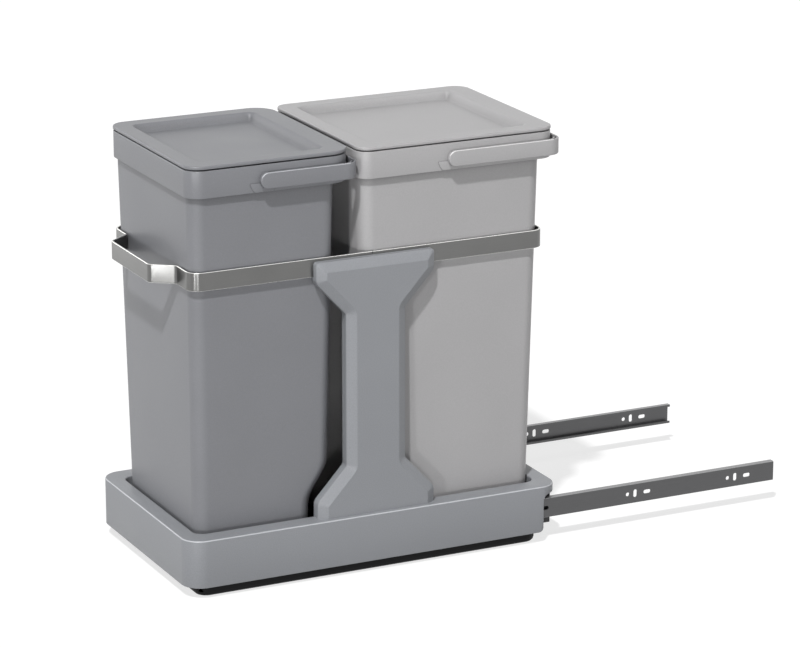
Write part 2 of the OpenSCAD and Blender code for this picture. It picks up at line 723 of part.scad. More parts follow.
// Bins: a drafted body, and a collar that turns out and down round its mouth
function ease(t) = t <= 0 ? 0 : t >= 1 ? 1 : t * t * (3 - 2 * t);
function recess_at(z, depth) = depth * ease((recess_z1 - z) / (recess_z1 - recess_z0));
function body_ring(y0, y1, back, depth, inset, z, r_in) =
    let (d = inset)
    ring(body_x - side_fall(z) - d, y0 + body_front_in + end_fall(z) + d,
        y1 - back - end_fall(z) - recess_at(z, depth) - d, body_r - r_in, z);
function collar_ring(y0, y1, d, z) = ring(collar_x - d, y0 + d, y1 - d, collar_r - d, z);
module bin(y0, y1, back, depth) {
    steps = concat(depth > 0 ? [for (k = [0:5]) recess_z0 + (recess_z1 - recess_z0) * k / 5] : [], [collar_z]);
    under = bin_top - collar_t;
    foot = [
        for (a = [0:30:90])
            let (d = foot_r * (1 - sin(a)))
            with_z(body_ring(y0, y1, back, depth, d, bin_z, d * 0.7), bin_z + foot_r * (1 - cos(a)))
    ];
    inner_foot = [
        for (a = [90:-30:0])
            let (d = (foot_r - bin_t) * (1 - sin(a)) + bin_t)
            with_z(body_ring(y0, y1, back, depth, d, bin_z, d * 0.7), bin_z + bin_t + (foot_r - bin_t) * (1 - cos(a)))
    ];
    loft(concat(
        foot,
        [for (z = steps) body_ring(y0, y1, back, depth, 0, z, 0)],
        [with_z(body_ring(y0, y1, back, depth, 0, collar_z, 0), under)],
        [collar_ring(y0, y1, collar_t, under), collar_ring(y0, y1, collar_t, collar_z)],
        [collar_ring(y0, y1, 0, collar_z), collar_ring(y0, y1, 0, bin_top - 0.8), collar_ring(y0, y1, 0.8, bin_top)],
        [with_z(body_ring(y0, y1, back, depth, bin_t, collar_z, bin_t), bin_top)],
        [for (z = backwards(steps)) body_ring(y0, y1, back, depth, bin_t, z, bin_t)],
        inner_foot
    ));
    // Pivot studs, each on a pad that runs down to the collar's lower edge
    py = pivot_y(y0, y1);
    both_sides() {
        pin_x(collar_x - collar_t / 2, collar_x + bail_gap + bail_rib_t - 0.4, py, bail_z, stud_r);
        intersection() {
            translate([0, py - pad_fwd, bail_z - 1]) pin_x(collar_x - collar_t / 2, collar_x + bail_gap - clear - 0.2, 0, 0, pad_r);
            block(0, tray_w, y0, y1, collar_z, bail_z - 3);
        }
    }
}
bail_z = collar_z + collar_h / 2 - pivot_low;
function pivot_y(y0, y1) = (y0 + y1) / 2 - pivot_fwd;
module front_bin() {
    color(grey_bin) bin(front_y0, front_y1, front_rear_in, recess_d);
}
module rear_bin() {
    color(pale_bin) bin(rear_y0, rear_y1, rear_rear_in, 0);
}

// Lids: a flat rim round a sunk panel, with a plug that reaches down inside the bin's mouth
module lid(y0, y1, back) {
    z0 = bin_top + lid_gap;
    z1 = z0 + lid_edge_h;
    e = lid_edge_r;
    seat = bin_top + clear;
    deep = z1 - lid_recess;
    // Step sideways that keeps the skin's thickness over the slope
    under = 0.4 * lid_t;
    more = lid_rear_rim - lid_rim;
    function edge(d, z) = ring(collar_x - d, y0 + d, y1 - d, collar_r - d, z);
    function panel(d, z) = ring(collar_x - d, y0 + d, y1 - d - more, max(lid_panel_r + lid_rim - d, 3), z);
    function mouth(d, z) = with_z(body_ring(y0, y1, back, 0, bin_t + d, collar_z, bin_t + d), z);
    difference() {
        loft([
            mouth(plug_gap, bin_top - plug_h),
            mouth(plug_gap, seat),
            edge(3, seat),
            edge(3, z0),
            edge(0.2 - lid_over, z0),
            edge(-lid_over, z0 + e / 2),
            edge(-lid_over, z1 - e),
            edge(e * 0.3 - lid_over, z1 - e * 0.3),
            edge(e - lid_over, z1),
            panel(lid_rim, z1),
            panel(lid_rim + 1.5, z1 - 0.6),
            panel(lid_rim + lid_slope - 1.5, deep + 0.6),
            panel(lid_rim + lid_slope, deep)
        ]);
        loft([
            mouth(plug_gap + lid_t, bin_top - plug_h - over),
            mouth(plug_gap + lid_t, z1 - lid_t),
            panel(lid_rim - under, z1 - lid_t),
            panel(lid_rim + lid_slope - under, deep - lid_t)
        ]);
    }
}
module front_lid() {
    color(grey_bin) lid(front_y0, front_y1, front_rear_in);
}
module rear_lid() {
    color(pale_bin) lid(rear_y0, rear_y1, rear_rear_in);
}

// Bails: a strap round the rear of the collar, with a rib inside each arm that turns on its stud and runs on
// round the corner
module bail(y0, y1, gap) {
    py = pivot_y(y0, y1);
    rib_x = collar_x + bail_gap;
    in_x = rib_x + bail_rib_t;
    out_x = in_x + bail_t;
    end_y = y1 + gap + bail_t;
    fore = py - bail_over;
    // The rib ends part way round the corner, clear of the lid's corner
    band_x = out_x - 0.7 * bail_r;
    line = [[out_x, fore], [out_x, end_y], [-out_x, end_y], [-out_x, fore]];
    outer = rounded(line, [0, bail_r, bail_r, 0]);
    function inside(d) = rounded(shifted(line, d), [0, bail_r - d, bail_r - d, 0]);
    difference() {
        union() {
            translate([0, 0, bail_z - bail_h / 2]) linear_extrude(bail_h)
                polygon(concat(outer, backwards(inside(bail_t))));
            translate([0, 0, bail_z - bail_rib_h / 2]) linear_extrude(bail_rib_h) difference() {
                polygon(concat(inside(bail_t / 2), backwards(inside(bail_t + bail_rib_t))));
                translate([-band_x, py]) square([2 * band_x, y1 - y0]);
            }
            both_sides() {
                pin_x(in_x, out_x, fore, bail_z, bail_h / 2);
                pin_x(rib_x, in_x + bail_t / 2, py, bail_z, bail_rib_h / 2 + 1);
            }
        }
        both_sides() pin_x(rib_x - over, in_x, py, bail_z, stud_r + stud_fit);
    }
}
module front_bail() {
    color(grey_bin) bail(front_y0, front_y1, bail_front_gap);
}
module rear_bail() {
    color(pale_bin) bail(rear_y0, rear_y1, bail_rear_gap);
}

cabinet_rail();  // right_cabinet_rail
mirror([1, 0, 0]) cabinet_rail();  // left_cabinet_rail
ball_cage();  // right_ball_cage
mirror([1, 0, 0]) ball_cage();  // left_ball_cage
balls();  // right_balls
mirror([1, 0, 0]) balls();  // left_balls
drawer_rail();  // right_drawer_rail
mirror([1, 0, 0]) drawer_rail();  // left_drawer_rail
side_plate();  // right_side_plate
mirror([1, 0, 0]) side_plate();  // left_side_plate
front_crossbar();
rear_crossbar();
rail_screws();
base_pan();
tray_cover();
pillar();  // right_pillar
mirror([1, 0, 0]) pillar();  // left_pillar
pillar_screws();
front_hoop();
rear_hoop();
hoop_screws();
front_bin();
front_lid();
front_bail();
rear_bin();
rear_lid();
rear_bail();
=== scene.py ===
# Pull out bin frame: two lidded bins in a moulded tray inside a brushed steel hoop, on ball bearing slides
import math

import bmesh
import bpy
import numpy as np
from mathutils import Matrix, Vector


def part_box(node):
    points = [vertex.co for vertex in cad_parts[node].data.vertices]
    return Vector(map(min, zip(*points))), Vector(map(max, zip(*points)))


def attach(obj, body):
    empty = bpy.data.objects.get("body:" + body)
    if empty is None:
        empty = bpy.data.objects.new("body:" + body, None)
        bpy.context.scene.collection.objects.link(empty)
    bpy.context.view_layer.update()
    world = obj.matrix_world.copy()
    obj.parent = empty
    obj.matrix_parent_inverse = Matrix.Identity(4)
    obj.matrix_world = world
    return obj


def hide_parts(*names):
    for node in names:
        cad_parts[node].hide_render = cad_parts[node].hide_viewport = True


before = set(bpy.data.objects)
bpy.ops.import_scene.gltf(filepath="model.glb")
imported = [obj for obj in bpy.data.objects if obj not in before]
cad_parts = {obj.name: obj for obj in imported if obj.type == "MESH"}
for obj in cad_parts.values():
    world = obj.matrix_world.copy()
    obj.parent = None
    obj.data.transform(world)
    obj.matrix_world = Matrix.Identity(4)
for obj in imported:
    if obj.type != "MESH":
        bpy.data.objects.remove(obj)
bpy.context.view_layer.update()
print("frame loaded")


# Shapes, all in millimetres

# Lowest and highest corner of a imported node, in millimetres
def boxMm(node):
    low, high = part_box(node)
    return np.array(low) * 1000, np.array(high) * 1000


# Vector over its own length
def unit(v):
    return v / np.linalg.norm(v)


# Even steps of an angle from a to b, in radians
def turns(a, b, steps):
    return np.radians(np.linspace(a, b, steps + 1))


# Line with round corners: at each corner an arc that touches both of its sides, in even steps of angle
def roundedLine(points, radii, steps=8):
    points = np.asarray(points, float)
    out = [points[:1]]
    for before, p, after, r in zip(points, points[1:], points[2:], radii[1:]):
        u, w = unit(before - p), unit(after - p)
        half = np.arccos(np.clip(u @ w, -1, 1)) / 2
        centre = p + unit(u + w) * r / np.sin(half)
        start, end = p + u * r / np.tan(half) - centre, p + w * r / np.tan(half) - centre
        a = np.arctan2(start[1], start[0])
        turn = (np.arctan2(end[1], end[0]) - a + np.pi) % (2 * np.pi) - np.pi
        angle = a + turn * np.linspace(0, 1, steps + 1)
        out.append(centre + r * np.stack([np.cos(angle), np.sin(angle)], 1))
    return np.concatenate(out + [points[-1:]])


# Sideways vectors of a line: the sum of the left normals on both sides of a point, over one plus their dot
# product
def sideways(path):
    step = np.diff(path, axis=0)
    step = step / np.linalg.norm(step, axis=1)[:, None]
    left = np.stack([-step[:, 1], step[:, 0]], 1)
    a, b = np.concatenate([left[:1], left]), np.concatenate([left, left[-1:]])
    return (a + b) / (1 + (a * b).sum(1))[:, None]


# Rectangle with rounded corners as a loop, from the right end of its lower side round to the left end
def sectionLoop(u0, u1, v0, v1, r, steps=4):
    corners = [(u1 - r, v0 + r, -90), (u1 - r, v1 - r, 0), (u0 + r, v1 - r, 90), (u0 + r, v0 + r, 180)]
    loops = [np.stack([u + r * np.cos(turns(a, a + 90, steps)), v + r * np.sin(turns(a, a + 90, steps))], 1)
             for u, v, a in corners]
    return np.concatenate(loops)


# Rings seen from above, one to a row: quarter circles of the row's radius round the four corners, joined by
# straight runs that have extra points at the fractions in along (rear, left, front, right). The rear corners'
# radius may be larger by rearMore
def plateRings(halfX, y0, y1, radius, z, corner=turns(0, 90, 12), along=((), (), (), ()), rearMore=0):
    halfX, y0, y1, radius, z = [np.atleast_1d(np.asarray(v, float)) for v in (halfX, y0, y1, radius, z)]
    rows = max(len(v) for v in (halfX, y0, y1, radius, z))
    halfX, y0, y1, radius = [np.broadcast_to(v, rows)[:, None] for v in (halfX, y0, y1, radius)]
    arcs = []
    for k, (sx, rear) in enumerate(((1, True), (-1, True), (-1, False), (1, False))):
        a = corner + k * np.pi / 2
        r = radius + rearMore * rear
        cx, cy = sx * (halfX - r), (y1 - r) if rear else (y0 + r)
        arcs.append(np.stack([cx + r * np.cos(a), cy + r * np.sin(a)], 2))
    blocks = []
    for k in range(4):
        f = np.asarray(along[k], float)[None, :, None]
        blocks += [arcs[k], arcs[k][:, -1:] * (1 - f) + arcs[(k + 1) % 4][:, :1] * f]
    plan = np.roll(np.concatenate(blocks, 1), len(along[3]) // 2, 1)
    z = z if z.ndim == 2 else z[:, None]
    return np.concatenate([plan, np.broadcast_to(z, plan.shape[:2])[:, :, None]], 2)


# Skin over rows of rings: a four sided face between each pair of points on neighbouring rows. The end rows are
# joined to each other, or each is closed by strips from its first half to its second
def skin(rings, joined=False):
    rows, count = rings.shape[:2]
    index = np.arange(rows * count).reshape(rows, count)
    a, d = (index, np.roll(index, -1, 0)) if joined else (index[:-1], index[1:])
    faces = [np.stack([a, np.roll(a, -1, 1), np.roll(d, -1, 1), d], 2).reshape(-1, 4)]
    if not joined:
        k = np.arange(count // 2 - 1)
        strips = np.stack([k, k + 1, count - 2 - k, count - 1 - k], 1)
        faces += [strips[:, ::-1], strips + (rows - 1) * count]
    return rings.reshape(-1, 3), np.concatenate(faces)


# Section carried along a level path: each point of the loop goes sideways from the path by u and up to v
def sweep(path, loop):
    flat = path[:, None, :] + sideways(path)[:, None, :] * loop[None, :, :1]
    z = np.broadcast_to(loop[None, :, 1:], flat.shape[:2] + (1,))
    return skin(np.concatenate([flat, z], 2))


# Outline in a plane with rows of depth: each row is the outline at its own inset, at its own place across
def plate(outline, rows, place):
    return skin(np.stack([place(outline(inset), depth) for inset, depth in rows]))


# Parts of one piece in metres: doubled points at poles and seams are merged and faces turned outwards. The
# faces that the picking function chooses, from their middles in millimetres and their normals, get the second
# material: a lighter colour, which is a painted highlight
def makePiece(name, parts, material, body, nodes, sharp=40, highlighted=None, highlightedWhere=None):
    starts = np.cumsum([0] + [len(p) for p, f in parts])[:-1]
    points = np.concatenate([p for p, f in parts]) / 1000
    faces = np.concatenate([f + s for (p, f), s in zip(parts, starts)])
    mesh = bpy.data.meshes.new(name)
    mesh.from_pydata(points.tolist(), [], faces.tolist())
    work = bmesh.new()
    work.from_mesh(mesh)
    bmesh.ops.remove_doubles(work, verts=work.verts, dist=2e-7)
    bmesh.ops.dissolve_degenerate(work, edges=work.edges, dist=1e-7)
    bmesh.ops.recalc_face_normals(work, faces=work.faces)
    work.to_mesh(mesh)
    work.free()
    mesh.shade_smooth()
    mesh.set_sharp_from_angle(angle=math.radians(sharp))
    piece = bpy.data.objects.new(name, mesh)
    bpy.context.scene.collection.objects.link(piece)
    mesh.materials.append(material)
    if highlighted:
        mesh.materials.append(highlighted)
        middle, normal = np.zeros(len(mesh.polygons) * 3), np.zeros(len(mesh.polygons) * 3)
        mesh.polygons.foreach_get("center", middle)
        mesh.polygons.foreach_get("normal", normal)
        picked = highlightedWhere(middle.reshape(-1, 3) * 1000, normal.reshape(-1, 3))
        mesh.polygons.foreach_set("material_index", picked.astype(np.int32))
    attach(piece, body)
    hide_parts(*nodes)
    print(name, len(mesh.polygons), "faces")


# The same part on the other side: x changes its sign, and each face runs the other way round so that it still
# points outwards
def mirrored(part):
    return part[0] * (-1, 1, 1), part[1][:, ::-1]


# Materials

# sRGB hex colour as linear red, green, blue and alpha
def colour(hexText):
    c = np.array([int(hexText[i:i + 2], 16) for i in (1, 3, 5)]) / 255
    c = np.where(c <= 0.04045, c / 12.92, ((c + 0.055) / 1.055) ** 2.4)
    return (*c.tolist(), 1.0)


# Adds a node, sets its settings, and fills its inputs with values or links
def addNode(tree, kind, settings, inputs):
    node = tree.nodes.new(kind)
    for key, value in settings.items():
        setattr(node, key, value)
    for key, value in inputs.items():
        if isinstance(value, bpy.types.NodeSocket):
            tree.links.new(value, node.inputs[key])
        else:
            node.inputs[key].default_value = value
    return node


# Empty node material and its tree
def newMaterial(name):
    material = bpy.data.materials.new(name)
    material.use_nodes = True
    material.node_tree.nodes.clear()
    return material, material.node_tree


# Output of a material, fed by its shader
def finishMaterial(tree, shader):
    addNode(tree, "ShaderNodeOutputMaterial", {}, {"Surface": shader.outputs[0]})


# Noise seldom leaves this span of its values
noiseSpan = {"From Min": 0.3, "From Max": 0.7}


# Injection moulded plastic. Spark eroded grain breaks the gloss up, so the eye gets a soft even sheen; the real
# grain is about 0.1 mm, and it is drawn at grainMm so that it shows. Its tone drifts a little over flowMm, as
# moulded plastic's does. The piece's own corners and creases, within creaseMm, are darker by up to the given
# share: this is painted shade, from an ambient occlusion node that looks only at the piece itself
def mouldedPlastic(name, hexText, roughness, grainMm, depthMm, gloss=0.3, cloud=0.05, speckle=0.04, creaseShade=0.6,
                   flowMm=90, creaseMm=15, spread=0.04):
    material, tree = newMaterial(name)
    place = addNode(tree, "ShaderNodeTexCoord", {}, {}).outputs["Object"]
    grain = addNode(tree, "ShaderNodeTexNoise", {}, {"Vector": place, "Scale": 1000 / grainMm, "Detail": 3.0,
                                                     "Roughness": 0.6})
    flow = addNode(tree, "ShaderNodeTexNoise", {}, {"Vector": place, "Scale": 1000 / flowMm, "Detail": 2.0})
    base = np.array(colour(hexText)[:3])
    mixed = addNode(tree, "ShaderNodeMix", {"data_type": "RGBA"}, {0: flow.outputs["Fac"],
                                                                   6: (*(base * (1 - cloud)).tolist(), 1),
                                                                   7: (*(base * (1 + cloud)).tolist(), 1)})
    dots = addNode(tree, "ShaderNodeMapRange", {}, {"Value": grain.outputs["Fac"], **noiseSpan,
                                                    "To Min": 1 - speckle, "To Max": 1 + speckle})
    # Painted shade: the piece's own corners and creases are darkened by what ambient occlusion finds
    openness = addNode(tree, "ShaderNodeAmbientOcclusion", {"samples": 6, "only_local": True},
                       {"Distance": creaseMm / 1000})
    paintedCreaseShade = addNode(tree, "ShaderNodeMapRange", {}, {"Value": openness.outputs["AO"], "From Min": 0.4,
                                                    "From Max": 1.0, "To Min": 1 - creaseShade, "To Max": 1.0})
    value = addNode(tree, "ShaderNodeMath", {"operation": "MULTIPLY"}, {0: dots.outputs[0], 1: paintedCreaseShade.outputs[0]})
    tone = addNode(tree, "ShaderNodeHueSaturation", {}, {"Color": mixed.outputs[2], "Value": value.outputs[0]})
    worn = addNode(tree, "ShaderNodeMapRange", {}, {"Value": flow.outputs["Fac"], **noiseSpan,
                                                    "To Min": roughness - spread, "To Max": roughness + spread})
    bump = addNode(tree, "ShaderNodeBump", {}, {"Height": grain.outputs["Fac"], "Strength": 0.5,
                                                "Distance": depthMm / 1000})
    shader = addNode(tree, "ShaderNodeBsdfPrincipled", {}, {
        "Base Color": tone.outputs["Color"], "Roughness": worn.outputs[0], "IOR": 1.5,
        "Specular IOR Level": gloss, "Normal": bump.outputs[0]})
    finishMaterial(tree, shader)
    return material


# Steel strip or sheet with fine lines from brushing or rolling: they lie along the level run of the piece, so
# the noise is stretched in x and y and fine in z, and the eye gets highlights drawn out across them. Real lines
# are about 0.05 mm apart, and they are drawn at lineMm so that they show. Faces that lie level may get a
# lighter
# given colour: that is a painted highlight
def linedSteel(name, hexText, roughness, lineMm, runMm, contrast, depthMm, anisotropy=0.0, levelHighlightHex=None,
               patchMm=45, spread=0.05):
    material, tree = newMaterial(name)
    texture = addNode(tree, "ShaderNodeTexCoord", {}, {})
    place = texture.outputs["Object"]
    stretch = (1000 / runMm, 1000 / runMm, 1000 / lineMm)
    lines = addNode(tree, "ShaderNodeMapping", {}, {"Vector": place, "Scale": stretch})
    brush = addNode(tree, "ShaderNodeTexNoise", {}, {"Vector": lines.outputs[0], "Scale": 1.0, "Detail": 4.0,
                                                     "Roughness": 0.65})
    patch = addNode(tree, "ShaderNodeTexNoise", {}, {"Vector": place, "Scale": 1000 / patchMm, "Detail": 2.0})
    base = np.array(colour(hexText)[:3])
    mixed = addNode(tree, "ShaderNodeMix", {"data_type": "RGBA"}, {0: brush.outputs["Fac"],
                                                                   6: (*(base * (1 - contrast)).tolist(), 1),
                                                                   7: (*(base * (1 + contrast)).tolist(), 1)})
    rough = addNode(tree, "ShaderNodeMapRange", {}, {"Value": patch.outputs["Fac"], **noiseSpan,
                                                     "To Min": roughness - spread,
                                                     "To Max": roughness + spread})
    bump = addNode(tree, "ShaderNodeBump", {}, {"Height": brush.outputs["Fac"], "Strength": 0.4,
                                                "Distance": depthMm / 1000})
    # Painted highlight: faces that lie level, facing up or down, get the lighter colour
    if levelHighlightHex:
        up = addNode(tree, "ShaderNodeSeparateXYZ", {}, {"Vector": texture.outputs["Normal"]}).outputs["Z"]
        size = addNode(tree, "ShaderNodeMath", {"operation": "ABSOLUTE"}, {0: up}).outputs[0]
        level = addNode(tree, "ShaderNodeMapRange", {}, {"Value": size, "From Min": 0.4, "From Max": 0.8})
        mixed = addNode(tree, "ShaderNodeMix", {"data_type": "RGBA"}, {0: level.outputs[0], 6: mixed.outputs[2],
                                                                       7: colour(levelHighlightHex)})
    shader = addNode(tree, "ShaderNodeBsdfPrincipled", {}, {
        "Base Color": mixed.outputs[2], "Metallic": 1.0, "Roughness": rough.outputs[0],
        "Anisotropic": anisotropy, "Anisotropic Rotation": 0.25, "Normal": bump.outputs[0]})
    finishMaterial(tree, shader)
    return material


# Powder coat: a thick paint film with a fine orange peel, so the eye gets soft, slightly broken highlights
def powderCoat(name, hexText, roughness, peelMm, depthMm):
    material, tree = newMaterial(name)
    place = addNode(tree, "ShaderNodeTexCoord", {}, {}).outputs["Object"]
    peel = addNode(tree, "ShaderNodeTexVoronoi", {"feature": "SMOOTH_F1"}, {"Vector": place,
                                                                            "Scale": 1000 / peelMm})
    bump = addNode(tree, "ShaderNodeBump", {}, {"Height": peel.outputs["Distance"], "Strength": 0.4,
                                                "Distance": depthMm / 1000})
    tone = addNode(tree, "ShaderNodeMapRange", {}, {"Value": peel.outputs["Distance"], "To Min": 0.85,
                                                    "To Max": 1.15})
    tinted = addNode(tree, "ShaderNodeHueSaturation", {}, {"Color": colour(hexText), "Value": tone.outputs[0]})
    shader = addNode(tree, "ShaderNodeBsdfPrincipled", {}, {
        "Base Color": tinted.outputs["Color"], "Roughness": roughness, "IOR": 1.5, "Normal": bump.outputs[0]})
    finishMaterial(tree, shader)
    return material


grainedAbs = mouldedPlastic("grained grey ABS", "#888a8e", 0.42, 1.1, 0.13, 0.5, 0.05, 0.07)
binPolypropylene = mouldedPlastic("satin grey polypropylene", "#7b7c80", 0.38, 1.4, 0.05, 0.5)
paleBinPolypropylene = mouldedPlastic("satin pale grey polypropylene", "#a6a5a6", 0.38, 1.4, 0.04, 0.5)
blackPolypropylene = mouldedPlastic("black polypropylene", "#0e0e10", 0.5, 1.4, 0.08, 0.15)
blackAcetal = mouldedPlastic("black acetal", "#1d1e20", 0.35, 1.2, 0.03)
# Lighter copies of the plastics for upward tilted edges: a painted highlight, drawn as thin bright lines
highlightedPolypropylene = mouldedPlastic("grey polypropylene rubbed bright along an edge",
                                     "#b0b2b6", 0.3, 1.1, 0.03, 0.5)
highlightedPalePolypropylene = mouldedPlastic("pale polypropylene rubbed bright along an edge",
                                         "#d6d5d5", 0.3, 1.1, 0.03, 0.5)
highlightedAbs = mouldedPlastic("grey ABS rubbed bright along an edge", "#b4b6ba", 0.3, 1.1, 0.03, 0.5)
brushedStainless = linedSteel("brushed stainless", "#757574", 0.33, 0.5, 60, 0.10, 0.02, 0.95)
# Lighter steel for the strip's upper and lower edges: a painted highlight
stripEdgeHighlight = linedSteel("stainless strip edge with a painted highlight", "#e2e2df", 0.25, 0.5, 60, 0.04, 0.01)
# Zinc plated rail steel; its level flanges get a lighter colour, a painted highlight
zincRail = linedSteel("zinc plated steel", "#606061", 0.42, 1.2, 25, 0.07, 0.02, 0.0, "#959596")
bearingSteel = linedSteel("bearing steel", "#b8b8ba", 0.14, 1.0, 1.0, 0.03, 0.005)
zincScrew = linedSteel("bright zinc screw", "#a2a4a8", 0.32, 0.6, 0.6, 0.06, 0.01)
blackCoat = powderCoat("black powder coat", "#141517", 0.45, 0.9, 0.06)
print("materials made")


# Tray cover

trayForm = {"wall": 2.5, "edge": 1.6, "radius": 22, "sideRim": 22.3, "endRim": 18.5, "wellRadius": 12,
            "lip": 12, "overhang": 19.5, "rearEdge": 10, "notch": 8, "heel": 5, "lowerEdge": 0.6,
            "lowerBite": 0.3, "lipEdge": 0.5, "innerEdge": 0.2, "highlightTilt": (0.3, 0.9), "highlightWidth": 8}
trayLow, trayHigh = boxMm("tray_cover")
skirtEnd = trayHigh[1] - trayForm["overhang"]
# Places where the cover gets a step, from the skirt's rear end; they crowd together where the skirt ends
skirtSteps = np.array([-5, -4.2, -3.4, -2.6, -1.9, -1.2, -0.7, -0.3, -0.1, -0.005, 0.005, 0.1, 0.3, 0.7, 1.3,
                       2, 3, 4.2, 5.6, 7, 8])


# Height of the skirt's lower edge at y: level, up a quarter circle at its rear end, straight up, and through a
# hollow quarter circle into the level underside of the rear edge
def skirtFoot(y):
    low, notch, heel = trayLow[2], trayForm["notch"], trayForm["heel"]
    under = trayHigh[2] - trayForm["rearEdge"]
    back = np.clip(y - (skirtEnd - heel), 0, heel)
    rise = low + heel - np.sqrt(heel ** 2 - back ** 2)
    hollow = under - notch + np.sqrt(np.maximum(notch ** 2 - np.clip(skirtEnd + notch - y, 0, notch) ** 2, 0))
    return np.where(y < skirtEnd, rise, hollow)


# Cover: a profile that goes up the skirt, round its edge, over the rim, down the lip and back under, carried
# round the tray
def trayCover():
    f = trayForm
    wall, e, low = f["wall"], f["edge"], f["lowerEdge"]
    arcStart = trayHigh[1] - f["radius"]
    ends = skirtEnd + skirtSteps
    inArc = np.arcsin((ends[ends > arcStart] - arcStart) / f["radius"])
    corner = np.unique(np.round(np.concatenate([turns(0, 90, 12), inArc, np.pi / 2 - inArc]), 9))
    run = (ends[ends <= arcStart] - trayLow[1] - f["radius"]) / (arcStart - trayLow[1] - f["radius"])
    even = np.linspace(0, 0.95, 6)[1:]
    right = np.sort(np.concatenate([even, run]))
    rings = lambda halfX, y0, y1, r: plateRings(halfX, y0, y1, r, 0, corner, ((), 1 - right[::-1], (), right))
    outer = lambda d: rings(trayHigh[0] - d, trayLow[1] + d, trayHigh[1] - d, f["radius"] - d)
    wellX, wellY = trayHigh[0] - f["sideRim"], trayHigh[1] - f["endRim"]
    well = lambda d: rings(wellX + d, -wellY - d, wellY + d, f["wellRadius"] + d)
    foot = skirtFoot(outer(0)[0, :, 1])
    top, lip, bite = trayHigh[2], trayHigh[2] - f["lip"], low * f["lowerBite"]
    rows = [(outer(low), foot), (outer(bite), foot + bite), (outer(0), foot + low)]
    rows += [(outer(e * (1 - np.cos(a))), top - e + e * np.sin(a)) for a in turns(0, 90, 6)]
    rows += [(well(e * (1 - np.sin(a))), top - e * (1 - np.cos(a))) for a in turns(0, 90, 5)]
    rows += [(well(0), lip + f["lipEdge"]), (well(f["lipEdge"]), lip), (well(wall), lip),
             (well(wall), top - wall), (outer(wall), top - wall), (outer(wall), foot + f["innerEdge"]),
             (outer(wall - f["innerEdge"]), foot)]
    stack = []
    for plan, z in rows:
        ring = plan[0].copy()
        ring[:, 2] = z
        stack.append(ring)
    return skin(np.stack(stack), joined=True)


# Faces of the rim's outer rounded edge that get the painted highlight: near the top, tilted upwards, and within
# the given width of the cover's outer sides
def rimHighlightFaces(middle, normal):
    f = trayForm
    least, most = f["highlightTilt"]
    fromSide = np.maximum(np.abs(middle[:, 0]) - trayHigh[0], np.abs(middle[:, 1]) - trayHigh[1])
    return ((middle[:, 2] > trayHigh[2] - f["edge"]) & (normal[:, 2] > least) & (normal[:, 2] < most) &
            (fromSide > -f["highlightWidth"]))


makePiece("tray_cover_moulding", [trayCover()], grainedAbs, "tray", ["tray_cover"], 40,
          highlightedAbs, rimHighlightFaces)


# Pillars

pillarForm = {"waist": 69, "headSide": 22, "footSide": 17.5, "shoulder": 37, "chamferIn": 10, "chamferDeep": 6,
              "outRound": 11, "inRound": 5, "crown": 3.5, "leastRound": 0.5, "wall": 2.5, "soft": 0.7,
              "backRound": 0.3, "faceRound": 1.0, "faceRun": 0.6, "ribStep": 38, "ribThick": 1.8,
              "ribRound": 0.3, "ribBack": 0.6, "ribShelf": 1, "ribSink": 0.3}
pillarLow, pillarHigh = boxMm("right_pillar")


# Outline of a pillar in y and z: broad foot, waisted column and broad head, moved inwards by inset; outward
# corners lose the inset from their radius and inward corners gain it
def pillarOutline(inset):
    f = pillarForm
    middle, half = (pillarLow[1] + pillarHigh[1]) / 2, (pillarHigh[1] - pillarLow[1]) / 2
    column = f["waist"] / 2
    foot, head = pillarLow[2] + f["footSide"], pillarHigh[2] - f["headSide"]
    right = np.array([(half, pillarLow[2]), (half, foot), (column, foot + f["shoulder"]),
                      (column, head - f["shoulder"]), (half, head), (half, pillarHigh[2])])
    line = np.concatenate([right, (right * (-1, 1))[::-1]])
    radii = [0, f["outRound"], f["inRound"], f["inRound"], f["outRound"], f["crown"]]
    signs = [0, -1, 1, 1, -1, -1]
    radii = [max(r + s * inset, f["leastRound"]) if r else 0 for r, s in zip(radii, signs)]
    moved = line + sideways(line) * inset
    out = roundedLine(moved, radii + radii[::-1], 9)
    return out + (middle, 0)


# Pillar: its outline carried from the back edge to the brow, over the chamfer to the face, and back behind them
# at the wall's thickness, closed by the flat face on both sides; level ribs stand inside it at even steps
def pillar():
    f = pillarForm
    back, face = pillarLow[0], pillarHigh[0]
    brow, inner = face - f["chamferDeep"], face - f["wall"]
    shelf = brow - f["ribShelf"]
    profile = roundedLine([(f["wall"], back), (0, back), (0, brow), (f["chamferIn"], face),
                           (f["chamferIn"] + f["faceRun"], face)],
                          [0, f["backRound"], f["soft"], f["faceRound"], 0], 5)
    inside = [(f["chamferIn"] + 0.2, inner), (f["chamferIn"] - 0.5, inner - 0.4), (f["wall"], brow - 1.5)]
    rows = inside + profile.tolist()
    place = lambda yz, x: np.concatenate([np.full((len(yz), 1), x), yz], 1)
    parts = [plate(pillarOutline, rows, place)]
    middle = (pillarLow[1] + pillarHigh[1]) / 2
    column, front = f["waist"] / 2 - f["wall"] + f["ribSink"], f["waist"] / 2 - f["chamferIn"] + f["ribSink"]
    ribs = np.arange(pillarLow[2] + f["footSide"] + f["shoulder"],
                     pillarHigh[2] - f["headSide"] - f["shoulder"], f["ribStep"])
    for z in ribs:
        low, high = z - f["ribThick"] / 2, z + f["ribThick"] / 2
        for x0, x1, half in ((back + f["ribBack"], shelf, column), (shelf, inner + f["ribSink"], front)):
            path = np.array([(x1, middle - half), (x1, middle + half)])
            parts.append(sweep(path, sectionLoop(0, x1 - x0, low, high, f["ribRound"], 3)))
    return parts


